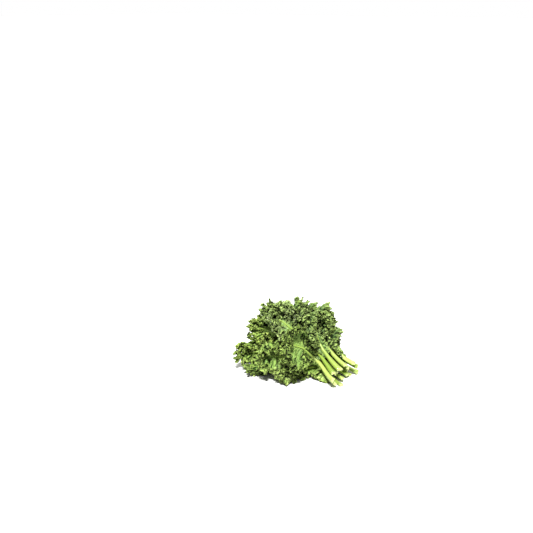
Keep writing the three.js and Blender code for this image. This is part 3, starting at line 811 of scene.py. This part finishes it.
def add_flounces(skin, leaf, sheet, folded, fold_phase, share):
    random = np.random.default_rng(FLOUNCE_SEED + leaf["number"])
    normals = sheet_normals(folded)
    sideways = unit(np.gradient(folded, axis=1))
    places = np.linspace(*FLOUNCE_SHARES, FLOUNCE_COLUMNS)
    for crest in range(FOLDS * FLOUNCES):
        phase = fold_phase[0, 0] + 2 * np.pi * (crest + random.uniform(*FLOUNCE_STRAY)) / FLOUNCES
        column = int(np.argmin(np.abs(fold_phase[0] - phase)))
        lines = []
        for field in (sheet, normals, sideways):
            line = [np.interp(places, share[:, 0], field[:, column, axis]) for axis in range(3)]
            lines.append(np.stack(line, axis=-1))
        root, normal, aside = lines
        face = 1 if random.uniform() < FLOUNCE_UNDER else -1
        lean = random.uniform(-FLOUNCE_LEAN, FLOUNCE_LEAN)
        rise = unit(normal * face * math.cos(lean) + aside * math.sin(lean))
        height = FLOUNCE_HEIGHT * random.uniform(*FLOUNCE_HEIGHTS)
        add_flounce(skin, leaf, root, rise, height, random)


# ---- The stalks and midribs ----
# Each leaf's stalk is a firm, juicy rod with a shallow channel on its upper face and faint ridges along it.
# It carries on as the leaf's midrib, thinning to the tip. It was cut straight across with a knife.
STALK_DEPTH = 6.4
RIB_TIP_DEPTH = 1.4
STALK_SIDES = 22
STALK_STEPS = 46
SIDE_ROUNDNESS = 0.85  # powers: 1 is round, and less is squarer
UNDER_ROUNDNESS = 0.8
UPPER_ROUNDNESS = 0.7
UPPER_CROWN = 0.1  # shares of the depth
CHANNEL_DEPTH = 0.14
CHANNEL_WIDTH = 0.2  # share of the width
RIDGES = 11
RIDGE_HEIGHT = 0.012  # share of the radius
CUT_RINGS = 5
CUT_HOLLOW = 0.5


def rod_frame(leaf, along):
    """Centre, rightward and underside directions of the stalk and midrib."""
    centre = bunch_point(leaf, along, 0 * along, 0 * along)
    forward = unit(bunch_point(leaf, along + 1, 0, 0 * along) - bunch_point(leaf, along - 1, 0, 0 * along))
    right = bunch_point(leaf, along, 1 + 0 * along, 0) - bunch_point(leaf, along, -1 + 0 * along, 0)
    right = unit(right - forward * np.sum(right * forward, axis=-1, keepdims=True))
    under = np.cross(forward, right)
    outside = bunch_point(leaf, along, 0 * along, 1 + 0 * along) - centre
    under = under * np.sign(np.sum(under * outside, axis=-1, keepdims=True))
    return centre, right, under


def add_rod(skin, leaf):
    """Adds a leaf's stalk and midrib, from the cut end to the tip."""
    along = np.linspace(-leaf["stalk"], leaf["reach"], STALK_STEPS)
    centre, right, under = rod_frame(leaf, along)
    width = rib_width(leaf, along)
    to_tip = np.clip(along / leaf["reach"], 0, 1)
    depth = STALK_DEPTH + (RIB_TIP_DEPTH - STALK_DEPTH) * to_tip**RIB_TAPER
    angle = np.linspace(0, 2 * np.pi, STALK_SIDES + 1)
    ridge = 1 + RIDGE_HEIGHT * np.cos(RIDGES * angle)
    x = 0.5 * np.sign(np.cos(angle)) * np.abs(np.cos(angle)) ** SIDE_ROUNDNESS * ridge
    bottom = np.maximum(np.sin(angle), 0) ** UNDER_ROUNDNESS * ridge
    top = -np.maximum(-np.sin(angle), 0) ** UPPER_ROUNDNESS
    channel = np.where(np.sin(angle) < 0, CHANNEL_DEPTH * np.exp(-((x / CHANNEL_WIDTH) ** 2)), 0)
    lift = bottom * depth[:, None] + top * (BLADE_THICKNESS / 2 + UPPER_CROWN * depth[:, None])
    lift = lift + channel * depth[:, None]
    points = centre[:, None] + right[:, None] * (x * width[:, None])[..., None]
    points = settled(points + under[:, None] * lift[..., None])
    points[..., 2] = np.maximum(points[..., 2], 0)
    marks = dict(
        share=np.zeros_like(lift),
        tint=np.full_like(lift, leaf["tint"]),
        upper=np.broadcast_to((np.sin(angle) < 0).astype(float), lift.shape),
        along=np.broadcast_to((along / leaf["stalk"])[:, None], lift.shape),
        u=np.broadcast_to(angle / (2 * np.pi), lift.shape),
        v=np.broadcast_to((along / GROWN_UNIT)[:, None], lift.shape),
    )
    grid = skin.add_points(points, **marks)
    grid[:, -1] = grid[:, 0]
    skin.add_grid(grid, STALK)

    # The tip closes on its middle.
    tip = np.broadcast_to(points[-1].mean(axis=0), points[-1].shape)
    tip_marks = {key: value[-1:] for key, value in marks.items()}
    tip_grid = skin.add_points(tip[None], **tip_marks)
    skin.add_grid(np.stack((grid[-1], tip_grid[0])), STALK)

    # The cut end is a slightly hollow face. It shares its rim's points with the stalk.
    middle = points[0, :-1].mean(axis=0)
    inward = unit(points[1, :-1].mean(axis=0) - middle)
    previous = grid[0]
    for ring in range(1, CUT_RINGS + 1):
        reach = 1 - ring / CUT_RINGS
        ring_points = middle + (points[0] - middle) * reach + inward * CUT_HOLLOW * (1 - reach**2)
        numbers = skin.add_points(ring_points, along=reach, u=marks["u"][0], v=np.full_like(angle, reach))
        numbers[-1] = numbers[0]
        skin.add_grid(np.stack((numbers, previous)), CUT)
        previous = numbers


STREAKS = (14, 1.2, 1)  # fine round the stalk and long along it
STREAK_SCALE = 3.0
GREEN_UP_FROM = (-0.2, 0.4)  # along the stalk, where the skin turns to the midrib's green


def make_stalk_finish():
    """Smooth juicy skin, yellow-green at the cut end and greener along the midrib, with fine streaks."""
    material, nodes, shader = new_material("kale_stalk")
    grown = nodes.add("ShaderNodeUVMap", {"uv_map": "grown"}).outputs["UV"]
    stretched = nodes.add("ShaderNodeMapping", Vector=grown, Scale=STREAKS).outputs["Vector"]
    streaks = nodes.noise(stretched, scale=STREAK_SCALE, detail=4.0)
    patches = use_mottling(nodes, broad=40, fine=200, contrast=0.8)
    paleness = nodes.scaled(nodes.attribute("tint"), by=-1.6, plus=streaks, clamp=True)
    color = nodes.blend(paleness, paint(106, 134, 36), paint(180, 194, 106))
    color = nodes.blend(nodes.spread(nodes.attribute("along"), *GREEN_UP_FROM), color, paint(146, 172, 74))
    color = nodes.blend(nodes.scaled(patches, by=0.3), color, paint(104, 130, 36))
    nodes.put(shader.inputs["Base Color"], color)
    bump = nodes.add("ShaderNodeBump", Strength=0.4, Distance=0.6 * MM, Height=streaks)
    nodes.put(shader.inputs["Normal"], bump.outputs["Normal"])
    nodes.put(shader.inputs["Roughness"], nodes.scaled(patches, by=0.15, plus=0.32))
    shader.inputs["Coat Weight"].default_value = 0.1
    return material


RIND_SPREAD = (0.62, 0.95)  # shares of the way out, from pith to all rind


def make_cut_finish():
    """A knife cut: moist pale pith, with a faint ring of greener rind a little inside its rim."""
    material, nodes, shader = new_material("kale_cut")
    patches = use_mottling(nodes, broad=300, fine=900, contrast=1.2)
    pith = nodes.blend(patches, paint(176, 192, 104), paint(204, 212, 140))
    color = nodes.blend(nodes.spread(nodes.attribute("along"), *RIND_SPREAD), pith, paint(168, 184, 96))
    nodes.put(shader.inputs["Base Color"], color)
    bump = nodes.add("ShaderNodeBump", Strength=0.5, Distance=0.4 * MM, Height=patches)
    nodes.put(shader.inputs["Normal"], bump.outputs["Normal"])
    nodes.put(shader.inputs["Roughness"], nodes.scaled(patches, by=0.2, plus=0.4))
    return material


STALK_FINISH = make_stalk_finish()
CUT_FINISH = make_cut_finish()


# ---- The leaflets along the stalks ----
# Small frilled leaflets grow from both edges of a leaf's stalk. They start below the blade and go on for a
# little beside it, so that the blades seem to begin gradually.
LEAFLETS_FROM = -38  # along the stalk from the neck, as usual
LEAFLETS_STRAY = 6
LEAFLETS_BESIDE_BLADE = 36
LEAFLET_EDGE = 0.42  # of the stalk's width from its middle
LEAFLET_HEIGHT = 17
LEAFLET_HEIGHTS = (0.8, 1.1)  # shares of it
LEAFLET_LEAN = 1.1  # the most towards the underside, in radians
LEAFLET_LEANS = (0.1, 1)  # shares of it
LEAFLET_SEED = 900


def add_leaflets(skin, leaf):
    random = np.random.default_rng(LEAFLET_SEED + leaf["number"])
    first = leaf.get("leaflets", LEAFLETS_FROM) + random.uniform(-LEAFLETS_STRAY, LEAFLETS_STRAY)
    along = np.linspace(first, leaf["start"] + LEAFLETS_BESIDE_BLADE, FLOUNCE_COLUMNS)
    centre, right, under = rod_frame(leaf, along)
    for side in (-1, 1):
        edge = centre + right * (side * LEAFLET_EDGE * rib_width(leaf, along))[:, None]
        lean = random.uniform(*LEAFLET_LEANS) * LEAFLET_LEAN
        rise = unit(right * side * math.cos(lean) + under * math.sin(lean))
        height = leaf.get("leaflet_height", LEAFLET_HEIGHT) * random.uniform(*LEAFLET_HEIGHTS)
        add_flounce(skin, leaf, edge, rise, height, random)


# ---- The raised side veins ----
# On its underside each blade carries firm veins, from the midrib out to the lobes. They stand half out of
# the blade and taper towards the margin.
VEIN_SIDES = 6
VEIN_ROOT_RADIUS = 0.7
VEIN_TIP_RADIUS = 0.2
VEIN_REACH = 0.6  # share of the way to the margin


def make_vein_tree():
    """Geometry nodes: each line of points becomes a tapered round vein."""
    tree = bpy.data.node_groups.new("raised_veins", "GeometryNodeTree")
    tree.interface.new_socket("Geometry", in_out="INPUT", socket_type="NodeSocketGeometry")
    sides = tree.interface.new_socket("Sides", in_out="INPUT", socket_type="NodeSocketInt")
    radius = tree.interface.new_socket("Radius", in_out="INPUT", socket_type="NodeSocketFloat")
    finish = tree.interface.new_socket("Finish", in_out="INPUT", socket_type="NodeSocketMaterial")
    tree.interface.new_socket("Geometry", in_out="OUTPUT", socket_type="NodeSocketGeometry")
    nodes = Nodes(tree)
    given = tree.nodes.new("NodeGroupInput").outputs
    result = tree.nodes.new("NodeGroupOutput").inputs
    lines = nodes.add("GeometryNodeMeshToCurve", Mesh=given["Geometry"]).outputs["Curve"]
    taper = nodes.add("GeometryNodeInputNamedAttribute", {"data_type": "FLOAT"}, Name="taper").outputs[0]
    ring = nodes.add("GeometryNodeCurvePrimitiveCircle", Resolution=given["Sides"], Radius=given["Radius"])
    tubes = nodes.add("GeometryNodeCurveToMesh", Curve=lines, Scale=taper, Fill_Caps=True)
    nodes.put(tubes.inputs["Profile Curve"], ring.outputs["Curve"])
    real = nodes.add("GeometryNodeRealizeInstances", Geometry=tubes.outputs["Mesh"]).outputs["Geometry"]
    dressed = nodes.add("GeometryNodeSetMaterial", Geometry=real, Material=given["Finish"])
    nodes.put(result["Geometry"], dressed.outputs["Geometry"])
    return tree, sides.identifier, radius.identifier, finish.identifier


VEIN_TREE, SIDES_INPUT, RADIUS_INPUT, FINISH_INPUT = make_vein_tree()


def make_veins(leaf, sheet, normals, fold_phase, share):
    """Lines along a leaf's side veins, grown into tapered tubes."""
    turns = fold_phase[0] * SIDE_VEINS / 2 / np.pi
    crests = np.nonzero(np.diff(np.floor(turns)))[0]
    rows = np.nonzero(share[:, 0] <= VEIN_REACH)[0]
    points = []
    edges = []
    tapers = []
    for crest in crests:
        line = sheet[rows, crest] + normals[rows, crest] * FINE_THICKNESS / 2
        first = len(points)
        points.extend((settled(line) * MM).tolist())
        edges.extend((first + i, first + i + 1) for i in range(len(rows) - 1))
        tapers.extend(1 - share[rows, crest] * (1 - VEIN_TIP_RADIUS / VEIN_ROOT_RADIUS) / VEIN_REACH)
    mesh = bpy.data.meshes.new("vein_lines")
    mesh.from_pydata(points, edges, [])
    mesh.attributes.new("taper", "FLOAT", "POINT").data.foreach_set("value", tapers)
    lines = bpy.data.objects.new("vein_lines", mesh)
    bpy.context.collection.objects.link(lines)
    modifier = lines.modifiers.new("veins", "NODES")
    modifier.node_group = VEIN_TREE
    modifier[SIDES_INPUT] = VEIN_SIDES
    modifier[RADIUS_INPUT] = VEIN_ROOT_RADIUS * MM
    modifier[FINISH_INPUT] = STALK_FINISH
    graph = bpy.context.evaluated_depsgraph_get()
    grown = bpy.data.meshes.new_from_object(lines.evaluated_get(graph))
    bpy.data.objects.remove(lines)
    grown.name = leaf["name"].replace("leaf", "veins")
    grown.polygons.foreach_set("use_smooth", [True] * len(grown.polygons))
    piece = bpy.data.objects.new(grown.name, grown)
    bpy.context.collection.objects.link(piece)
    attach(piece, "root")


# ---- The leaves put together ----
# Each leaf is one piece as it grew, from its cut end to its tip, and takes the place of its solid. The
# leaves on the upper side carry more of the pale blue-green wax, and the inner ones are a younger green.
WAXY_UP_TO = 140  # turn round the bunch

for leaf in LEAVES:
    skin = Skin()
    sheet, folded, fold_phase, share = add_blade(skin, leaf)
    add_flounces(skin, leaf, sheet, folded, fold_phase, share)
    add_leaflets(skin, leaf)
    add_rod(skin, leaf)
    blade = INNER_BLADE if leaf["ring"] < INNER_RINGS else OUTER_BLADE
    if leaf["turn"] < WAXY_UP_TO:
        blade = WAXY_BLADE
    piece = skin.make(leaf["name"].replace("leaf", "kale"), [blade, STALK_FINISH, CUT_FINISH])
    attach(piece, "root")
    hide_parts(leaf["name"])
    make_veins(leaf, sheet, sheet_normals(folded), fold_phase, share)

bpy.context.view_layer.update()
